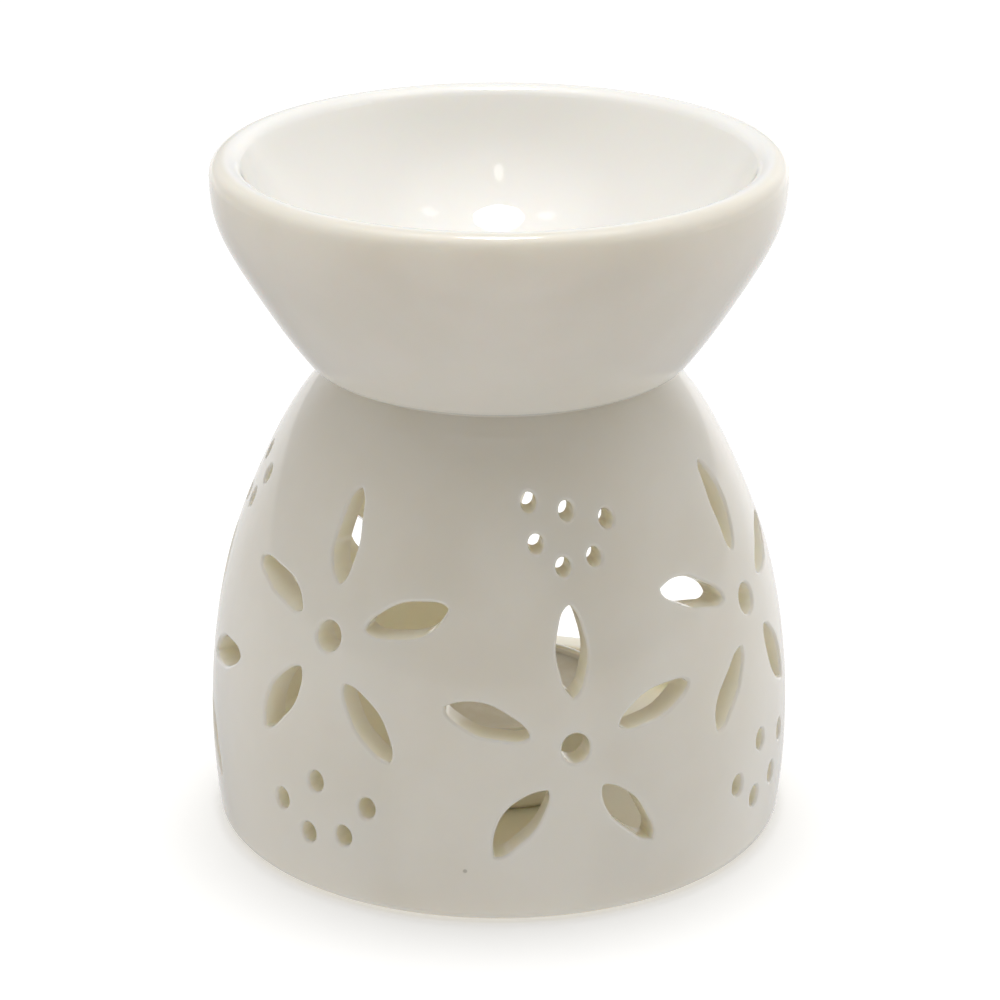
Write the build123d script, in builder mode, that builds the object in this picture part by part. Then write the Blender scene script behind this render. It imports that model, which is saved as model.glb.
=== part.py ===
from build123d import *
import os
from math import cos, degrees, radians, sin

# Essential oil burner: a pierced ceramic dome, the oil dish that sits on it and the tealight inside.
# Millimetres, +Z up. The origin is the centre of the foot, on the table. The arch faces +Y.
# Azimuths are degrees about Z: 0 is the front, -Y, and they grow towards +X.

# Whole burner
overall_height = 116.0
seat_height = 81.0

# Dome
belly_radius = 49.6
belly_height = 16.0
foot_radius = 48.7
foot_rounding = 2.2
dome_top_radius = 28.4
dome_top_rounding = 0.8
wall = 4.5
floor_top = 5.2
floor_corner = 2.0
foot_recess_depth = 1.2
foot_ring_width = 5.5
foot_ring_slope = 0.8
mouth_radius = 23.6
mouth_land = 3.0
seam_azimuth = 135.0

# Arch at the back
arch_width = 52.0
arch_top = 54.0
arch_sill = 9.0
arch_corner = 7.0

# Flowers and dots cut through the wall. They follow the dome, so that they stay apart: a petal's length
# is a share of the belly's radius where it lies level and of the seat's height where it stands, and the
# other shares are of that length, apart from each flower's height, which is a share of the seat's
petal_span_share = 0.3025
petal_rise_share = 0.1852
petal_reach_share = 1.0333
petal_width_share = 0.3467
eye_width_share = 0.3133
eye_height_share = 0.3321
low_flower_share = 0.3778
high_flower_share = 0.5642
petal_tip_rounding = 0.45
low_dot_width = 3.0
low_dot_height = 3.7
high_dot_width = 2.5
high_dot_height = 2.9
glaze_edge = 0.5
cut_overrun = 1.0

# Dish
rim_radius = 47.5
rim_rounding = 2.7
dish_base_radius = 32.4
dish_base_rounding = 4.0
dish_flare = 51.0
dish_floor = 6.5
dish_inside_slope = 65.0
spigot_clearance = 0.6
spigot_wall = 3.0
spigot_depth = 3.0
spigot_edge = 0.8

# Tealight
cup_radius = 19.0
cup_height = 16.0
cup_wall = 0.4
cup_corner = 1.6
cup_bead = 0.6
wax_clearance = 0.05
wax_drop = 2.0
wax_meniscus = 0.8
meniscus_width = 1.6
sustainer_radius = 7.0
sustainer_thickness = 0.4
sustainer_neck_radius = 1.6
sustainer_neck_height = 3.0
wick_radius = 0.8
wick_length = 20.0
wick_tip = 0.3

# Profile stations, as shares of the way from the belly to the mouth: height, then radius
dome_shares = [(0.295, 0.064), (0.489, 0.193), (0.695, 0.432), (0.875, 0.721)]
# Shares of the way from the dish's base to its rim: height, then radius
dish_outer_shares = [(0.20, 0.295), (0.45, 0.615), (0.75, 0.930)]
# Shares of the dish's inside depth and of its inner rim radius
dish_inner_shares = [(0.628, 0.85), (0.333, 0.65), (0.118, 0.40)]

# Hand-cut petals, one row each, starting at the top and going round to the left. Shares:
# turn of the petal pitch, left and right of the petal's width, and where each is widest along its length
petal_pitch = 360 / 5
front_flower_shares = [
    (0.03, 0.50, 0.40, -0.13, -0.06),
    (0.00, 0.28, 0.52, 0.03, -0.15),
    (0.08, 0.50, 0.58, -0.08, 0.04),
    (0.03, 0.54, 0.46, 0.00, 0.00),
    (0.03, 0.52, 0.56, 0.00, 0.12),
]
low_flower_shares = [
    (-0.01, 0.50, 0.50, 0.01, -0.02),
    (-0.01, 0.46, 0.56, 0.05, 0.05),
    (-0.01, 0.46, 0.66, -0.04, -0.02),
    (0.03, 0.48, 0.46, -0.06, -0.12),
    (0.00, 0.54, 0.42, -0.02, 0.04),
]
side_flower_shares = [
    (-0.01, 0.30, 0.60, 0.06, 0.00),
    (-0.03, 0.38, 0.52, 0.06, 0.13),
    (0.00, 0.38, 0.52, -0.06, 0.14),
    (-0.06, 0.52, 0.60, 0.01, 0.03),
    (0.05, 0.46, 0.44, 0.06, -0.05),
]
# Dots: degrees from their flower's azimuth, and height as a share of the seat's height
high_dot_shares = [(-7.4, 0.847), (1.9, 0.827), (11.8, 0.804), (-6.2, 0.773), (7.2, 0.740), (-0.3, 0.728)]
low_dot_shares = [(-9.4, 0.193), (-0.5, 0.260), (11.0, 0.231), (-2.6, 0.140), (5.8, 0.157)]
high_flower_azimuths = [0.0, 99.3, -99.3]
high_flower_rows = [front_flower_shares, side_flower_shares, side_flower_shares]
low_flower_azimuths = [51.4, -52.0]
# How much lower each low flower and its dots sit, as a share of the seat's height
low_flower_drop_shares = [0, 0.026]
# Shares of a petal's tip rounding: how far the tip and its shoulders lie inside the pointed end, and
# half the width across the shoulders
petal_tip_shares = (0.84, 1.29, 0.84)
# Width of a petal's side halfway from its widest place to a tip, as a share of its widest
petal_flank_share = 0.75

petal_span = petal_span_share * belly_radius
petal_rise = petal_rise_share * seat_height
dome_reach = max(belly_radius, foot_radius) + cut_overrun


def wall_plane(azimuth):
    """Upright plane outside the dome: its x runs along the wall and its y is the height."""
    outward = Vector(sin(radians(azimuth)), -cos(radians(azimuth)), 0)
    along = Vector(cos(radians(azimuth)), sin(radians(azimuth)), 0)
    return Plane(origin=outward * dome_reach, x_dir=along, z_dir=outward)


def half_section(azimuth):
    """Plane of a turned profile: x is the radius and y is the height."""
    outward = Vector(sin(radians(azimuth)), -cos(radians(azimuth)), 0)
    return Plane(origin=(0, 0, 0), x_dir=outward, z_dir=outward.cross(Vector(0, 0, 1)))


def between(start, end, shares):
    """Points between two corners of a profile, from shares of its height and then of its radius."""
    return [
        (start[0] + radius * (end[0] - start[0]), start[1] + height * (end[1] - start[1]))
        for height, radius in shares
    ]


def petal_place(direction, along, across):
    """Place on a wall plane, from shares of the petal's length along the direction and across it."""
    sideways = along * cos(radians(direction)) - across * sin(radians(direction))
    upward = along * sin(radians(direction)) + across * cos(radians(direction))
    return Vector(petal_span * sideways, petal_rise * upward)


def petal_cut(height, direction, shares):
    """Petal centred at the height and pointing in the direction, with two uneven sides and rounded tips."""
    turn, left, right, left_place, right_place = shares
    rounding = petal_tip_rounding / petal_span
    tip, shoulder, shoulder_width = [share * rounding for share in petal_tip_shares]
    left_width = left * petal_width_share
    right_width = right * petal_width_share
    outline = [
        (0.5 - tip, 0),
        (0.5 - shoulder, shoulder_width),
        ((left_place + 0.5) / 2, petal_flank_share * left_width),
        (left_place, left_width),
        ((left_place - 0.5) / 2, petal_flank_share * left_width),
        (shoulder - 0.5, shoulder_width),
        (tip - 0.5, 0),
        (shoulder - 0.5, -shoulder_width),
        ((right_place - 0.5) / 2, -petal_flank_share * right_width),
        (right_place, -right_width),
        ((right_place + 0.5) / 2, -petal_flank_share * right_width),
        (0.5 - shoulder, -shoulder_width),
    ]
    with BuildSketch() as petal:
        with BuildLine():
            Spline(
                [
                    petal_place(direction + turn * petal_pitch, along, across) + Vector(0, height)
                    for along, across in outline
                ],
                periodic=True,
            )
        make_face()
    return petal.sketch


def round_cut(height, cut_width, cut_height):
    """Round or slightly tall hole centred at the height."""
    with BuildSketch() as hole:
        with Locations((0, height)):
            Ellipse(cut_width / 2, cut_height / 2)
    return hole.sketch


def flower_cuts(azimuth, height, rows):
    """Azimuth and outline of each cut of one flower."""
    cuts = [(azimuth, round_cut(height, eye_width_share * petal_span, eye_height_share * petal_rise))]
    for index, shares in enumerate(rows):
        direction = 90 + index * petal_pitch
        centre = petal_place(direction, petal_reach_share, 0)
        turn = degrees(centre.X / belly_radius)
        cuts.append((azimuth + turn, petal_cut(height + centre.Y, direction, shares)))
    return cuts


def dot_cuts(azimuth, places, cut_width, cut_height, drop=0):
    """Azimuth and outline of each dot of one cluster, all lower by the drop."""
    return [
        (azimuth + turn, round_cut(share * seat_height - drop, cut_width, cut_height))
        for turn, share in places
    ]


# Every cut of the pattern: each flower with the dots above or below it
pattern = []
for azimuth, rows in zip(high_flower_azimuths, high_flower_rows):
    pattern += flower_cuts(azimuth, high_flower_share * seat_height, rows)
    pattern += dot_cuts(azimuth, low_dot_shares, low_dot_width, low_dot_height)
for azimuth, drop_share in zip(low_flower_azimuths, low_flower_drop_shares):
    drop = drop_share * seat_height
    pattern += flower_cuts(azimuth, low_flower_share * seat_height - drop, low_flower_shares)
    pattern += dot_cuts(azimuth, high_dot_shares, high_dot_width, high_dot_height, drop)

# Pierced body: one hollow casting with its foot ring, floor, wall, mouth, arch and cut flowers
with BuildPart() as pierced_body:
    with BuildSketch(half_section(seam_azimuth)):
        with BuildLine():
            ring_outer = foot_radius - foot_rounding
            ring_inner = ring_outer - foot_ring_width
            Polyline(
                (0, foot_recess_depth),
                (ring_inner - foot_ring_slope, foot_recess_depth),
                (ring_inner, 0),
                (ring_outer, 0),
            )
            RadiusArc((ring_outer, 0), (foot_radius, foot_rounding), -foot_rounding)
            Spline(
                (foot_radius, foot_rounding),
                (belly_radius, belly_height),
                *between((belly_radius, belly_height), (dome_top_radius, seat_height), dome_shares),
                (dome_top_radius, seat_height - dome_top_rounding),
            )
            RadiusArc(
                (dome_top_radius, seat_height - dome_top_rounding),
                (dome_top_radius - dome_top_rounding, seat_height),
                -dome_top_rounding,
            )
            Polyline(
                (dome_top_radius - dome_top_rounding, seat_height),
                (0, seat_height),
                (0, foot_recess_depth),
            )
        make_face()
    revolve(axis=Axis.Z)
    with BuildSketch(half_section(seam_azimuth)):
        with BuildLine():
            lean = (floor_top + floor_corner - foot_rounding) / (belly_height - foot_rounding)
            floor_radius = foot_radius + lean * (belly_radius - foot_radius) - wall
            inner_belly = (belly_radius - wall, belly_height)
            above = seat_height + cut_overrun
            Polyline((0, floor_top), (floor_radius - floor_corner, floor_top))
            RadiusArc(
                (floor_radius - floor_corner, floor_top),
                (floor_radius, floor_top + floor_corner),
                -floor_corner,
            )
            Spline(
                (floor_radius, floor_top + floor_corner),
                inner_belly,
                *between(inner_belly, (dome_top_radius - wall, seat_height), dome_shares),
                (mouth_radius, seat_height - mouth_land),
            )
            Polyline(
                (mouth_radius, seat_height - mouth_land),
                (mouth_radius, above),
                (0, above),
                (0, floor_top),
            )
        make_face()
    revolve(axis=Axis.Z, mode=Mode.SUBTRACT)
    cut_depth = dome_reach / 2
    with BuildSketch(Plane.XZ.offset(-dome_reach)) as arch:
        with Locations((0, (arch_top + arch_sill) / 2)):
            Rectangle(arch_width, arch_top - arch_sill)
        fillet(arch.vertices().group_by(Axis.Y)[-1], arch_width / 2 - glaze_edge)
        fillet(arch.vertices().group_by(Axis.Y)[0], arch_corner)
    extrude(amount=cut_depth, mode=Mode.SUBTRACT)
    for azimuth, outline in pattern:
        with BuildSketch(wall_plane(azimuth)):
            add(outline)
    extrude(amount=-cut_depth, mode=Mode.SUBTRACT)
    inside, outside = pierced_body.faces().sort_by(SortBy.AREA)[-2:]
    cut_rims = ShapeList(edge for wire in outside.inner_wires() for edge in wire.edges())
    arch_rim = inside.inner_wires().sort_by(SortBy.LENGTH)[-1].edges()
    fillet(cut_rims + arch_rim, glaze_edge)
pierced_body.part.label = "pierced_body"

# Oil dish: rounded bowl with a short spigot that centres it in the dome's mouth
rim_height = overall_height - rim_rounding
lip_turn = radians(90 + dish_inside_slope)
lip_reach = rim_radius - rim_rounding * (1 - cos(lip_turn))
dish_floor_height = seat_height + dish_floor
flat_base_radius = dish_base_radius - dish_base_rounding * sin(radians(dish_flare))
base_height = seat_height + dish_base_rounding * (1 - cos(radians(dish_flare)))
spigot_radius = mouth_radius - spigot_clearance


with BuildPart() as oil_bowl:
    with BuildSketch(Plane.XZ):
        with BuildLine():
            base_edge = (dish_base_radius, base_height)
            rim_edge = (rim_radius, rim_height)
            inner_edge = (lip_reach, rim_height + rim_rounding * sin(lip_turn))
            inner_centre = (0, dish_floor_height)
            Polyline(inner_centre, (0, seat_height), (flat_base_radius, seat_height))
            base_round = JernArc((flat_base_radius, seat_height), (1, 0), dish_base_rounding, dish_flare)
            Spline(
                base_round @ 1,
                *between(base_edge, rim_edge, dish_outer_shares),
                rim_edge,
                tangents=[base_round % 1, (0, 1)],
            )
            ThreePointArc(rim_edge, (rim_radius - rim_rounding, overall_height), inner_edge)
            Spline(
                inner_edge,
                *between(inner_centre, inner_edge, dish_inner_shares),
                inner_centre,
                tangents=[(-sin(lip_turn), cos(lip_turn)), (-1, 0)],
            )
        make_face()
    revolve(axis=Axis.Z)
    with BuildSketch(Plane.XY.offset(seat_height)):
        Circle(spigot_radius)
        Circle(spigot_radius - spigot_wall, mode=Mode.SUBTRACT)
    extrude(amount=-spigot_depth)
    fillet(oil_bowl.edges().group_by(Axis.Z)[0], spigot_edge)
oil_bowl.part.label = "oil_bowl"

# Tealight cup: drawn aluminium with a rolled rim, standing on the dome's floor
cup_top = floor_top + cup_height
cup_floor = floor_top + cup_wall
with BuildPart() as tealight_cup:
    with BuildSketch(Plane.XZ):
        with BuildLine():
            Polyline((0, floor_top), (cup_radius - cup_corner, floor_top))
            RadiusArc(
                (cup_radius - cup_corner, floor_top),
                (cup_radius, floor_top + cup_corner),
                -cup_corner,
            )
            Polyline(
                (cup_radius, floor_top + cup_corner),
                (cup_radius, cup_top - cup_bead),
                (cup_radius - cup_wall, cup_top - cup_bead),
                (cup_radius - cup_wall, floor_top + cup_corner),
            )
            RadiusArc(
                (cup_radius - cup_wall, floor_top + cup_corner),
                (cup_radius - cup_corner, cup_floor),
                cup_corner - cup_wall,
            )
            Polyline((cup_radius - cup_corner, cup_floor), (0, cup_floor), (0, floor_top))
        make_face()
        with Locations((cup_radius, cup_top - cup_bead)):
            Circle(cup_bead)
    revolve(axis=Axis.Z)
tealight_cup.part.label = "tealight_cup"

# Wick sustainer: a stamped disc on the cup's floor with a crimped neck
sustainer_bore = wick_radius + wax_clearance
neck_top = cup_floor + sustainer_neck_height
with BuildPart() as wick_sustainer:
    with BuildSketch(Plane.XZ):
        with BuildLine():
            Polyline(
                (sustainer_bore, cup_floor),
                (sustainer_radius, cup_floor),
                (sustainer_radius, cup_floor + sustainer_thickness),
                (sustainer_neck_radius + sustainer_thickness, cup_floor + sustainer_thickness),
                (sustainer_neck_radius, cup_floor + 2 * sustainer_thickness),
                (sustainer_neck_radius, neck_top - sustainer_thickness),
                (sustainer_neck_radius - sustainer_thickness, neck_top),
                (sustainer_bore, neck_top),
                close=True,
            )
        make_face()
    revolve(axis=Axis.Z)
wick_sustainer.part.label = "wick_sustainer"

# Wick: braided cotton, from the cup's floor through the neck and out of the wax
with BuildPart() as wick:
    with BuildSketch(Plane.XY.offset(cup_floor)):
        Circle(wick_radius)
    extrude(amount=wick_length)
    chamfer(wick.edges().group_by(Axis.Z)[-1], wick_tip)
wick.part.label = "wick"

# Wax: poured round the wick and the sustainer, a little hollow in the middle and drawn up at the cup's wall
wax_radius = cup_radius - cup_wall - wax_clearance
wax_corner = cup_corner - cup_wall
wax_top = cup_top - wax_drop
pocket_radius = sustainer_radius + wax_clearance
pocket_top = cup_floor + sustainer_thickness + wax_clearance
neck_pocket_radius = sustainer_neck_radius + sustainer_thickness
with BuildPart() as tealight_wax:
    with BuildSketch(Plane.XZ):
        with BuildLine():
            Polyline((pocket_radius, cup_floor), (wax_radius - wax_corner, cup_floor))
            RadiusArc(
                (wax_radius - wax_corner, cup_floor),
                (wax_radius, cup_floor + wax_corner),
                -wax_corner,
            )
            Polyline((wax_radius, cup_floor + wax_corner), (wax_radius, wax_top + wax_meniscus))
            Spline(
                (wax_radius, wax_top + wax_meniscus),
                (wax_radius - meniscus_width, wax_top),
                (sustainer_bore, wax_top),
                tangents=[(-wax_meniscus, -meniscus_width), (-1, 0)],
            )
            Polyline(
                (sustainer_bore, wax_top),
                (sustainer_bore, neck_top + wax_clearance),
                (neck_pocket_radius, neck_top + wax_clearance),
                (neck_pocket_radius, pocket_top),
                (pocket_radius, pocket_top),
                (pocket_radius, cup_floor),
            )
        make_face()
    revolve(axis=Axis.Z)
tealight_wax.part.label = "tealight_wax"

os.makedirs("parts", exist_ok=True)
export_step(pierced_body.part, "parts/pierced_body.step")
export_step(oil_bowl.part, "parts/oil_bowl.step")
export_step(tealight_cup.part, "parts/tealight_cup.step")
export_step(wick_sustainer.part, "parts/wick_sustainer.step")
export_step(wick.part, "parts/wick.step")
export_step(tealight_wax.part, "parts/tealight_wax.step")
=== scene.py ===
import math

import bmesh
import bpy
from mathutils import Matrix, Vector


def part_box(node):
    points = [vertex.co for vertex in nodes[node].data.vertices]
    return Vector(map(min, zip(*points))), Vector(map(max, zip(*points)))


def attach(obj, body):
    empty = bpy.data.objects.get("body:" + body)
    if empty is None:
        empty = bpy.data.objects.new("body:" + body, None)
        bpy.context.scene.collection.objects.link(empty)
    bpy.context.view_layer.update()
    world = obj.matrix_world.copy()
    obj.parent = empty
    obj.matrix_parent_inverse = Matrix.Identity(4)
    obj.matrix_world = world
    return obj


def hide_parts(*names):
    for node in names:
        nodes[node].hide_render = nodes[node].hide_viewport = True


# Glazed oil burner on a pale floor under soft studio light. Metres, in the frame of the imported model.
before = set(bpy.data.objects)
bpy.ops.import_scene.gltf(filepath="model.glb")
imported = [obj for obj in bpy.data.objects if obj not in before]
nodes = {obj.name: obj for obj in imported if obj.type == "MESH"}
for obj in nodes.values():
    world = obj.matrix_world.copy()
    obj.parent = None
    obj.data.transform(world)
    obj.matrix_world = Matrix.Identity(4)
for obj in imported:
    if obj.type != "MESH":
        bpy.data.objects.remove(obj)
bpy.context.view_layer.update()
scene = bpy.context.scene
print("frame:", ", ".join(sorted(nodes)))


# Camera: the photograph's view, from above and to the right of the front
camera = {
    "azimuth": 36.7,      # degrees round the burner, from the front towards +X
    "elevation": 21.35,   # degrees above the floor
    "distance": 0.5994,
    "targetHeight": 0.05493,
    "lens": 127.0,
    "sensor": 36.0,
    "shift": 0.001,
    "clipStart": 0.01,
}


def direction(azimuth, elevation):
    turn = math.radians(azimuth)
    rise = math.radians(elevation)
    return Vector((math.sin(turn) * math.cos(rise), -math.cos(turn) * math.cos(rise), math.sin(rise)))


def lookAt(thing, point):
    thing.rotation_euler = (point - thing.location).to_track_quat("-Z", "Y").to_euler()


target = Vector((0, 0, camera["targetHeight"]))
cameraData = bpy.data.cameras.new("photoCamera")
cameraData.lens = camera["lens"]
cameraData.sensor_width = camera["sensor"]
cameraData.shift_x = camera["shift"]
cameraData.clip_start = camera["clipStart"]
cameraObject = bpy.data.objects.new("photoCamera", cameraData)
scene.collection.objects.link(cameraObject)
cameraObject.location = target + direction(camera["azimuth"], camera["elevation"]) * camera["distance"]
lookAt(cameraObject, target)
scene.camera = cameraObject
print("camera placed")


# Studio: a light tent with soft bright sides, round lamps overhead and a glowing white floor
studio = {
    "roomColour": (1.0, 0.99, 0.98),
    "roomStrength": 0.02,
    "floorColour": (0.84, 0.84, 0.835),
    "floorGlow": 0.34,
    "floorRoughness": 0.9,
    "floorGloss": 0.2,
    "floorSize": 14.0,
    "floorSides": 96,
    "floorDrop": 0.0002,   # keeps the card just clear of the foot
    "lampDistance": 1.1,
}
# Bright parts of the tent: degrees round from the camera and above the floor,
# the strength added at the middle, and the cosines where it starts and where it is full
tent = {
    "ceiling": {"aside": 180, "rise": 90, "strength": 1.42, "starts": 0.75, "full": 0.97},
    "floorBounce": {"aside": 180, "rise": -90, "strength": 0.46, "starts": -0.01, "full": 0.02},
    "leftSide": {"aside": -98, "rise": 15, "strength": 0.55, "starts": 0.30, "full": 0.95},
    "rightSide": {"aside": 110, "rise": 15, "strength": 0.70, "starts": 0.30, "full": 0.95},
    "backSide": {"aside": 180, "rise": 10, "strength": 0.56, "starts": 0.60, "full": 0.95},
    "frontFill": {"aside": 0, "rise": -15, "strength": 0.55, "starts": 0.68, "full": 0.85},
}
# Degrees round from the camera and above the floor, then metres and watts
lamps = {
    "lampOverhead": {"aside": 180, "rise": 86, "width": 0.28, "height": 0.28, "power": 4.6},
    "lampLeft": {"aside": -110, "rise": 75, "width": 0.10, "height": 0.10, "power": 0.06},
    "lampRight": {"aside": 106, "rise": 69, "width": 0.10, "height": 0.10, "power": 0.05},
    "lampFront": {"aside": 0, "rise": 71, "width": 0.07, "height": 0.14, "power": 0.08},
}
# A faint fill inside the dome, as light that finds its way in through the arch and the cuts
fill = {"height": 0.055, "radius": 0.012, "power": 0.004, "colour": (1.0, 0.94, 0.84)}


def addLight(name, kind, power):
    light = bpy.data.lights.new(name, kind)
    light.energy = power
    lightObject = bpy.data.objects.new(name, light)
    scene.collection.objects.link(lightObject)
    return light, lightObject


for name, lamp in lamps.items():
    light, lightObject = addLight(name, "AREA", lamp["power"])
    light.shape = "ELLIPSE"
    light.size = lamp["width"]
    light.size_y = lamp["height"]
    away = direction(camera["azimuth"] + lamp["aside"], lamp["rise"])
    lightObject.location = target + away * studio["lampDistance"]
    lookAt(lightObject, target)

light, lightObject = addLight("domeFill", "POINT", fill["power"])
light.shadow_soft_size = fill["radius"]
light.color = fill["colour"]
lightObject.location = (0, 0, fill["height"])
lightObject.visible_camera = False
lightObject.visible_glossy = False
scene.view_settings.view_transform = "Standard"


# Shader nodes. An input is a value, or another node's socket to link from.
def setInputs(tree, node, inputs):
    for socket, value in inputs.items():
        if isinstance(value, bpy.types.NodeSocket):
            tree.links.new(value, node.inputs[socket])
        else:
            node.inputs[socket].default_value = value


def addNode(tree, kind, inputs, **settings):
    node = tree.nodes.new(kind)
    for setting, value in settings.items():
        setattr(node, setting, value)
    setInputs(tree, node, inputs)
    return node


def mathNode(tree, operation, first, second=0.0, third=0.0):
    inputs = {0: first, 1: second, 2: third}
    return addNode(tree, "ShaderNodeMath", inputs, operation=operation).outputs[0]


def vectorNode(tree, operation, first, second=(0, 0, 0)):
    return addNode(tree, "ShaderNodeVectorMath", {0: first, 1: second}, operation=operation).outputs


# 0 below low and 1 above high, eased between them, or the other way round if low is above high
def ramp(tree, value, low, high):
    rising = low < high
    ends = {
        "Value": value,
        "From Min": min(low, high),
        "From Max": max(low, high),
        "To Min": 0.0 if rising else 1.0,
        "To Max": 1.0 if rising else 0.0,
    }
    return addNode(tree, "ShaderNodeMapRange", ends, interpolation_type="SMOOTHSTEP").outputs["Result"]


def mixColour(tree, amount, first, second):
    ends = [end if isinstance(end, bpy.types.NodeSocket) else (*end, 1) for end in (first, second)]
    inputs = {0: amount, 6: ends[0], 7: ends[1]}
    return addNode(tree, "ShaderNodeMix", inputs, data_type="RGBA").outputs[2]


def noise(tree, place, scale, detail, roughness):
    inputs = {"Vector": place, "Scale": scale, "Detail": detail, "Roughness": roughness}
    return addNode(tree, "ShaderNodeTexNoise", inputs).outputs["Fac"]


def bump(tree, height, distance, strength=1.0, under=None, invert=False):
    inputs = {"Strength": strength, "Distance": distance, "Height": height}
    if under is not None:
        inputs["Normal"] = under
    return addNode(tree, "ShaderNodeBump", inputs, invert=invert).outputs[0]


# The tent's strength in each direction
world = bpy.data.worlds.new("paleRoom")
scene.world = world
world.use_nodes = True
skyTree = world.node_tree
sky = addNode(skyTree, "ShaderNodeTexCoord", {}).outputs["Generated"]
strength = studio["roomStrength"]
for patch in tent.values():
    towards = direction(camera["azimuth"] + patch["aside"], patch["rise"])
    near = vectorNode(skyTree, "DOT_PRODUCT", sky, towards)["Value"]
    glow = ramp(skyTree, near, patch["starts"], patch["full"])
    strength = mathNode(skyTree, "MULTIPLY_ADD", glow, patch["strength"], strength)
roomInputs = {"Color": (*studio["roomColour"], 1), "Strength": strength}
setInputs(skyTree, skyTree.nodes["Background"], roomInputs)
print("lights placed")


# A material with a Principled shader wired to its output
def startMaterial(name):
    material = bpy.data.materials.new(name)
    material.use_nodes = True
    tree = material.node_tree
    tree.nodes.clear()
    output = tree.nodes.new("ShaderNodeOutputMaterial")
    shader = tree.nodes.new("ShaderNodeBsdfPrincipled")
    tree.links.new(shader.outputs["BSDF"], output.inputs["Surface"])
    return material, tree, shader


def objectPlace(tree):
    return addNode(tree, "ShaderNodeTexCoord", {}).outputs["Object"]


def stretched(tree, stretch):
    return vectorNode(tree, "MULTIPLY", objectPlace(tree), stretch)[0]


# In these and the other looks, each noise is its scale, its detail and its roughness,
# and each pair of edges is where a ramp starts and where it ends
glaze = {
    "colour": (0.780, 0.742, 0.655),
    "paleColour": (0.810, 0.777, 0.700),
    "cloudNoise": (38, 4, 0.55),
    "cloudEdges": (0.35, 0.68),
    "paleThinAndLitColour": (0.985, 0.918, 0.765),      # thin glaze on cut faces, with painted light: lighter and warmer on them and inside the dome
    "thinAndLitEdges": (0.40, 0.02),
    "thinAndLitShare": 0.85,
    "bowlPaintedLightColour": (0.885, 0.873, 0.835),      # painted light: whiter on the up-facing inside of the dish, where the brightly lit bowl looks bleached
    "bowlEdges": (0.35, -0.10),
    "levelEdges": (0.0, 0.35),
    "bisqueColour": (0.700, 0.640, 0.520),    # the wiped foot
    "bisqueNoise": (2600, 3, 0.5),
    "bisqueRoughness": 0.45,                  # what the bare foot adds
    "wipeEdges": (0.0013, 0.0008),
    "wipeNoise": (260, 2, 0.5),
    "wipeWobble": 0.0007,
    "speckColour": (0.420, 0.390, 0.330),
    "speckStrength": 0.7,
    "speckPlace": (0.0249, -0.0426, 0.0097),  # the one plain speck, low on the front
    "speckRadius": 0.00045,
    "pinholeScale": 130.0,
    "pinholeEdges": (0.045, 0.02),
    "pinholeChoice": (0.93, 0.95),            # how few cells have one
    "pinholeDepth": 0.0001,
    "pinholeStrength": 0.6,
    "roughness": 0.29,
    "roughnessSpread": 0.10,
    "roughnessNoise": (90, 3, 0.5),
    "waveHeight": 0.00010,
    "waveNoise": (55, 2, 0.45),
    "peelHeight": 0.000006,
    "peelNoise": (900, 2, 0.5),
    "coatRoughness": 0.03,
    "refraction": 1.45,
    "underGloss": 0.15,
    "glowShare": 0.55,                        # light that travels through the ware
    "glowRadius": (1.0, 0.84, 0.64),
    "glowDepth": 0.007,
}
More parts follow.
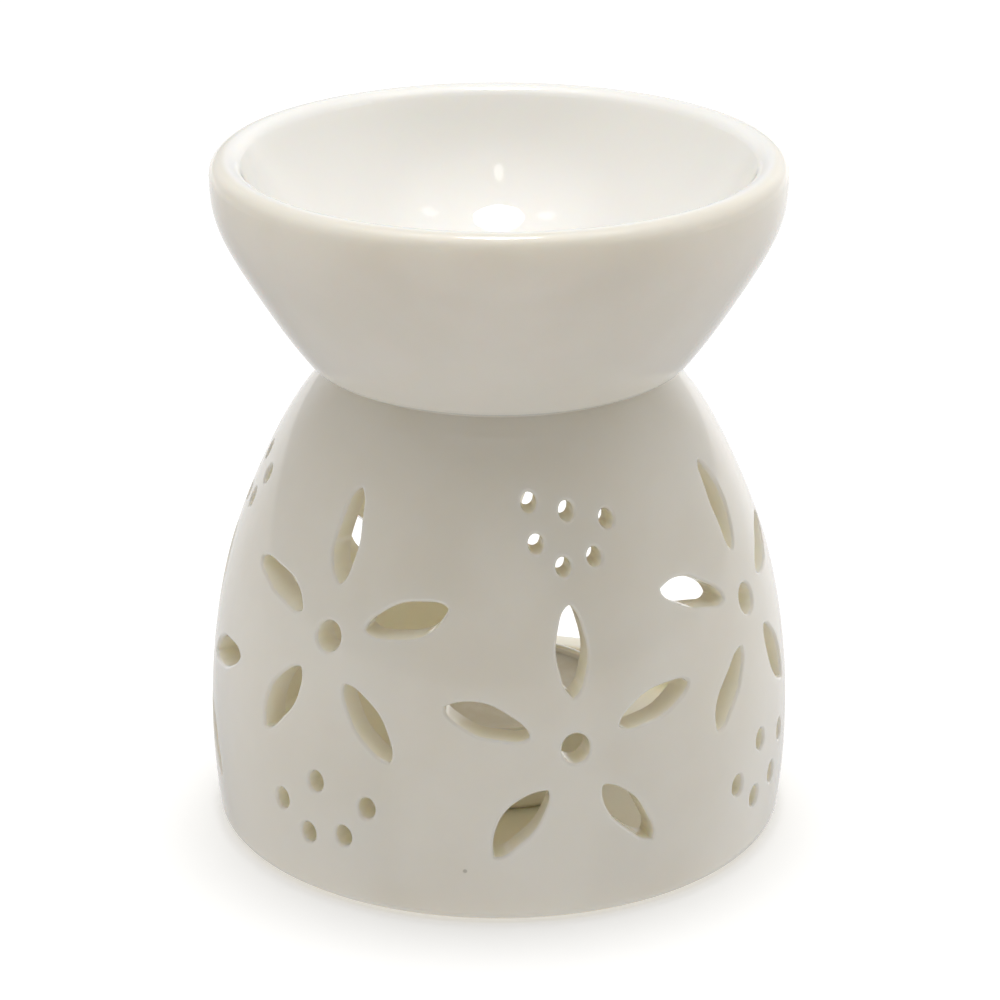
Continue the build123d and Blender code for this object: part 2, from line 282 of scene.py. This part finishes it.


# White glaze over a warm body: cloudy tone, pinholes, soft waves and a bare wiped foot.
# It runs thin on the dome's cut faces. Painted light: those faces and the inside of the dome are painted
# lighter and warmer, and the inside of the dish's bowl is painted whiter.
def glazeMaterial(name, cutFaces):
    material, tree, shader = startMaterial(name)
    coordinates = addNode(tree, "ShaderNodeTexCoord", {})
    place = coordinates.outputs["Object"]
    normal = coordinates.outputs["Normal"]
    height = addNode(tree, "ShaderNodeSeparateXYZ", {"Vector": place}).outputs["Z"]

    clouds = ramp(tree, noise(tree, place, *glaze["cloudNoise"]), *glaze["cloudEdges"])
    colour = mixColour(tree, clouds, glaze["colour"], glaze["paleColour"])

    # 1 on outer faces, 0 on level and radial ones, -1 on those that face the burner's axis
    outward = vectorNode(tree, "MULTIPLY", place, (1, 1, 0))[0]
    outward = vectorNode(tree, "NORMALIZE", outward)[0]
    facing = vectorNode(tree, "DOT_PRODUCT", outward, normal)["Value"]
    # Painted light: cut faces and inward faces of the dome get a lighter, warmer tone over the thin glaze,
    # standing in for light that comes in through the arch and the ware
    if cutFaces:
        thin = mathNode(tree, "MULTIPLY", ramp(tree, facing, *glaze["thinAndLitEdges"]), glaze["thinAndLitShare"])
        colour = mixColour(tree, thin, colour, glaze["paleThinAndLitColour"])
    else:
        # Painted light: the up-facing inside of the dish is painted whiter, as the brightly lit bowl looks
        # bleached
        upward = addNode(tree, "ShaderNodeSeparateXYZ", {"Vector": normal}).outputs["Z"]
        upward = ramp(tree, upward, *glaze["levelEdges"])
        inside = mathNode(tree, "MULTIPLY", upward, ramp(tree, facing, *glaze["bowlEdges"]))
        colour = mixColour(tree, inside, colour, glaze["bowlPaintedLightColour"])

    # Small dark pits where a chosen cell's point comes to the surface, and the one speck
    cellInputs = {"Vector": place, "Scale": glaze["pinholeScale"]}
    cells = addNode(tree, "ShaderNodeTexVoronoi", cellInputs, feature="F1").outputs
    chosen = addNode(tree, "ShaderNodeSeparateColor", {"Color": cells["Color"]}).outputs[0]
    chosen = ramp(tree, chosen, *glaze["pinholeChoice"])
    pit = mathNode(tree, "MULTIPLY", ramp(tree, cells["Distance"], *glaze["pinholeEdges"]), chosen)
    if cutFaces:
        reach = vectorNode(tree, "DISTANCE", place, glaze["speckPlace"])["Value"]
        speck = ramp(tree, reach, glaze["speckRadius"], glaze["speckRadius"] / 2)
        pit = mathNode(tree, "MAXIMUM", pit, speck)
    dark = mathNode(tree, "MULTIPLY", pit, glaze["speckStrength"])
    colour = mixColour(tree, dark, colour, glaze["speckColour"])

    # The edge of the bare foot wanders a little
    wobble = noise(tree, place, *glaze["wipeNoise"])
    wiped = mathNode(tree, "MULTIPLY_ADD", wobble, glaze["wipeWobble"], height)
    bare = ramp(tree, wiped, *glaze["wipeEdges"])
    bisque = noise(tree, place, *glaze["bisqueNoise"])
    bisque = mixColour(tree, bisque, glaze["bisqueColour"], glaze["paleThinAndLitColour"])
    colour = mixColour(tree, bare, colour, bisque)

    uneven = noise(tree, place, *glaze["roughnessNoise"])
    rough = mathNode(tree, "MULTIPLY_ADD", uneven, glaze["roughnessSpread"], glaze["roughness"])
    waves = bump(tree, noise(tree, place, *glaze["waveNoise"]), glaze["waveHeight"])
    peel = bump(tree, noise(tree, place, *glaze["peelNoise"]), glaze["peelHeight"], under=waves)
    setInputs(tree, shader, {
        "Base Color": colour,
        "Roughness": mathNode(tree, "MULTIPLY_ADD", bare, glaze["bisqueRoughness"], rough),
        "Normal": bump(tree, pit, glaze["pinholeDepth"], glaze["pinholeStrength"], under=peel, invert=True),
        "Coat Weight": mathNode(tree, "SUBTRACT", 1.0, bare),
        "Coat Roughness": glaze["coatRoughness"],
        "IOR": glaze["refraction"],
        "Specular IOR Level": glaze["underGloss"],
        "Subsurface Weight": glaze["glowShare"],
        "Subsurface Radius": glaze["glowRadius"],
        "Subsurface Scale": glaze["glowDepth"],
    })
    return material


foil = {
    "colour": (0.93, 0.93, 0.925),
    "dullColour": (0.74, 0.745, 0.75),
    "dullNoise": (120, 3, 0.5),
    "ringStretch": (40, 40, 2600),
    "ringNoise": (1.0, 3, 0.6),
    "ringHeight": 0.000012,
    "ringStrength": 0.7,
    "roughness": 0.25,
    "roughnessSpread": 0.16,
}


# Bright drawn aluminium with fine rings round the cup
def foilMaterial():
    material, tree, shader = startMaterial("cupFoil")
    dull = noise(tree, objectPlace(tree), *foil["dullNoise"])
    rings = noise(tree, stretched(tree, foil["ringStretch"]), *foil["ringNoise"])
    setInputs(tree, shader, {
        "Base Color": mixColour(tree, dull, foil["colour"], foil["dullColour"]),
        "Roughness": mathNode(tree, "MULTIPLY_ADD", rings, foil["roughnessSpread"], foil["roughness"]),
        "Normal": bump(tree, rings, foil["ringHeight"], foil["ringStrength"]),
        "Metallic": 1.0,
    })
    return material


tinplate = {
    "colour": (0.62, 0.62, 0.61),
    "wornColour": (0.50, 0.50, 0.49),
    "brushStretch": (300, 5200, 900),
    "brushNoise": (1.0, 3, 0.5),
    "brushHeight": 0.00001,
    "brushStrength": 0.5,
    "roughness": 0.26,
    "roughnessSpread": 0.2,
}


# Plain stamped plate with a brushed grain
def tinplateMaterial():
    material, tree, shader = startMaterial("tinplate")
    grain = noise(tree, stretched(tree, tinplate["brushStretch"]), *tinplate["brushNoise"])
    rough = mathNode(tree, "MULTIPLY_ADD", grain, tinplate["roughnessSpread"], tinplate["roughness"])
    setInputs(tree, shader, {
        "Base Color": mixColour(tree, grain, tinplate["colour"], tinplate["wornColour"]),
        "Roughness": rough,
        "Normal": bump(tree, grain, tinplate["brushHeight"], tinplate["brushStrength"]),
        "Metallic": 1.0,
    })
    return material


wax = {
    "colour": (0.80, 0.78, 0.72),
    "frostColour": (0.88, 0.87, 0.84),
    "frostNoise": (190, 5, 0.62),
    "frostEdges": (0.36, 0.70),
    "roughness": 0.34,
    "frostRoughness": 0.16,   # what the frost adds
    "poolNoise": (160, 2, 0.5),
    "poolHeight": 0.00006,
    "grainNoise": (1500, 3, 0.5),
    "grainShare": 0.12,
    "glowShare": 0.35,
    "glowRadius": (1.0, 0.8, 0.55),
    "glowDepth": 0.003,
}


# White paraffin: frosted clouds, light that goes a little way in, and a soft uneven top
def waxMaterial():
    material, tree, shader = startMaterial("paraffin")
    place = objectPlace(tree)
    frost = ramp(tree, noise(tree, place, *wax["frostNoise"]), *wax["frostEdges"])
    grain = noise(tree, place, *wax["grainNoise"])
    top = mathNode(tree, "MULTIPLY_ADD", grain, wax["grainShare"], noise(tree, place, *wax["poolNoise"]))
    setInputs(tree, shader, {
        "Base Color": mixColour(tree, frost, wax["colour"], wax["frostColour"]),
        "Roughness": mathNode(tree, "MULTIPLY_ADD", frost, wax["frostRoughness"], wax["roughness"]),
        "Normal": bump(tree, top, wax["poolHeight"]),
        "Subsurface Weight": wax["glowShare"],
        "Subsurface Radius": wax["glowRadius"],
        "Subsurface Scale": wax["glowDepth"],
    })
    return material


cotton = {
    "colour": (0.80, 0.76, 0.66),
    "shadeColour": (0.62, 0.57, 0.47),
    "fibreStretch": (9000, 9000, 1400),
    "fibreNoise": (1.0, 3, 0.6),
    "fibreHeight": 0.00004,
    "fibreStrength": 0.8,
    "roughness": 0.80,
    "roughnessSpread": 0.1,
    "sheen": 0.3,
}


# Waxed cotton threads, with fibres along each strand
def cottonMaterial():
    material, tree, shader = startMaterial("wickCotton")
    fibres = noise(tree, stretched(tree, cotton["fibreStretch"]), *cotton["fibreNoise"])
    setInputs(tree, shader, {
        "Base Color": mixColour(tree, fibres, cotton["shadeColour"], cotton["colour"]),
        "Roughness": mathNode(tree, "MULTIPLY_ADD", fibres, cotton["roughnessSpread"], cotton["roughness"]),
        "Normal": bump(tree, fibres, cotton["fibreHeight"], cotton["fibreStrength"]),
        "Sheen Weight": cotton["sheen"],
    })
    return material


# Matt pale card with a glow of its own
def floorMaterial():
    material, tree, shader = startMaterial("paleCard")
    setInputs(tree, shader, {
        "Base Color": (*studio["floorColour"], 1),
        "Emission Color": (*studio["floorColour"], 1),
        "Emission Strength": studio["floorGlow"],
        "Roughness": studio["floorRoughness"],
        "Specular IOR Level": studio["floorGloss"],
    })
    return material


def dress(thing, material):
    thing.data.materials.clear()
    thing.data.materials.append(material)


dress(nodes["pierced_body"], glazeMaterial("bodyGlaze", cutFaces=True))
dress(nodes["oil_bowl"], glazeMaterial("dishGlaze", cutFaces=False))
dress(nodes["tealight_wax"], waxMaterial())
dress(nodes["wick_sustainer"], tinplateMaterial())
print("glaze, wax and metal mixed")


# A piece at the origin from a finished bmesh, with its faces turned outwards
def meshObject(name, mesh, material, smooth=True):
    bmesh.ops.recalc_face_normals(mesh, faces=mesh.faces)
    data = bpy.data.meshes.new(name)
    mesh.to_mesh(data)
    mesh.free()
    for face in data.polygons:
        face.use_smooth = smooth
    thing = bpy.data.objects.new(name, data)
    scene.collection.objects.link(thing)
    dress(thing, material)
    return thing


# Tealight cup: drawn foil with a stepped base, soft upright flutes and a rolled rim
cupLow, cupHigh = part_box("tealight_cup")
cup = {
    "radius": 0.0190,
    "innerRadius": 0.0186,
    # Distance from the axis and height above the base, from the middle outwards
    "underside": [(0.0, 0.0002), (0.0062, 0.0002), (0.0068, 0.0), (0.0168, 0.0), (0.0181, 0.0003)],
    "heelInset": 0.0001,
    "heelHeight": 0.0014,
    "wallHeights": (0.0022, 0.0060, 0.0100),
    "innerHeel": 0.0020,
    # The same, inside, from the wall back to the middle
    "inside": [(0.0180, 0.0008), (0.0172, 0.0004), (0.0068, 0.0004), (0.0, 0.0004)],
    "beadDrop": 0.0012,              # from the bead's middle to the ends of the straight walls
    "beadTurns": range(-90, 181, 30),
    "flutes": 36,
    "fluteDepth": 0.00016,
    "fluteBand": (-0.0002, 0.0001),  # from the wall's radius, where a vertex counts as outer wall
    "fluteSpan": (0.001, 0.0145),
    "fluteFade": 0.002,
    "steps": 216,
    "weld": 1e-6,
}


def cupShell():
    mesh = bmesh.new()
    base = cupLow.z
    bead = cupHigh.x - cup["radius"]
    beadHeight = cupHigh.z - bead
    outline = [(reach, base + height) for reach, height in cup["underside"]]
    outline.append((cup["radius"] - cup["heelInset"], base + cup["heelHeight"]))
    outline += [(cup["radius"], base + height) for height in cup["wallHeights"]]
    outline.append((cup["radius"], beadHeight - cup["beadDrop"]))
    for turn in cup["beadTurns"]:
        angle = math.radians(turn)
        outline.append((cup["radius"] + bead * math.cos(angle), beadHeight + bead * math.sin(angle)))
    outline.append((cup["innerRadius"], beadHeight - cup["beadDrop"]))
    outline.append((cup["innerRadius"], base + cup["innerHeel"]))
    outline += [(reach, base + height) for reach, height in cup["inside"]]
    points = [mesh.verts.new((reach, 0, height)) for reach, height in outline]
    edges = [mesh.edges.new(pair) for pair in zip(points, points[1:])]
    bmesh.ops.spin(
        mesh,
        geom=points + edges,
        cent=(0, 0, 0),
        axis=(0, 0, 1),
        angle=2 * math.pi,
        steps=cup["steps"],
        use_merge=True,
    )
    bmesh.ops.remove_doubles(mesh, verts=mesh.verts, dist=cup["weld"])

    # The flutes press the outer wall in, and fade out towards its ends
    near, far = cup["fluteBand"]
    low, high = cup["fluteSpan"]
    for vertex in mesh.verts:
        reach = math.hypot(vertex.co.x, vertex.co.y)
        height = vertex.co.z - base
        if cup["radius"] + near < reach < cup["radius"] + far and low < height < high:
            turn = math.atan2(vertex.co.y, vertex.co.x)
            fade = min(1.0, (height - low) / cup["fluteFade"], (high - height) / cup["fluteFade"])
            depth = cup["fluteDepth"] * fade * (0.5 - 0.5 * math.cos(cup["flutes"] * turn))
            vertex.co.x *= 1 - depth / reach
            vertex.co.y *= 1 - depth / reach
    return meshObject("fluted_cup", mesh, foilMaterial())


flutedCup = cupShell()
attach(flutedCup, "tealight")
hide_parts("tealight_cup")
print("cup made")


# Wick: three waxed strands laid round each other
wickLow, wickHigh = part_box("wick")
wick = {
    "strands": 3,
    "strandRadius": 0.00036,
    "strandSides": 10,
    "layRadius": 0.00042,
    "turns": 4.0,
    "steps": 96,
}


def braidedWick():
    mesh = bmesh.new()
    for strand in range(wick["strands"]):
        earlier = set(mesh.verts)
        ring = bmesh.ops.create_circle(
            mesh,
            cap_ends=True,
            segments=wick["strandSides"],
            radius=wick["strandRadius"],
        )["verts"]
        bmesh.ops.translate(mesh, verts=ring, vec=(wick["layRadius"], 0, wickLow.z))
        faces = list({face for vertex in ring for face in vertex.link_faces})
        edges = list({edge for vertex in ring for edge in vertex.link_edges})
        bmesh.ops.spin(
            mesh,
            geom=ring + edges + faces,
            cent=(0, 0, 0),
            axis=(0, 0, 1),
            dvec=(0, 0, (wickHigh.z - wickLow.z) / wick["steps"]),
            angle=2 * math.pi * wick["turns"],
            steps=wick["steps"],
        )
        bmesh.ops.rotate(
            mesh,
            verts=[vertex for vertex in mesh.verts if vertex not in earlier],
            cent=(0, 0, 0),
            matrix=Matrix.Rotation(2 * math.pi * strand / wick["strands"], 3, "Z"),
        )
    return meshObject("braided_wick", mesh, cottonMaterial())


braid = braidedWick()
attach(braid, "tealight")
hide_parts("wick")
print("wick made")


# Floor: what the card throws up on the burner is the tent's floorBounce
floorMesh = bmesh.new()
bmesh.ops.create_circle(
    floorMesh,
    cap_ends=True,
    segments=studio["floorSides"],
    radius=studio["floorSize"] / 2,
)
floor = meshObject("pale_floor", floorMesh, floorMaterial(), smooth=False)
floor.location.z = -studio["floorDrop"]
floor.visible_diffuse = False
floor.visible_glossy = False
floor.visible_shadow = False
print("floor laid")
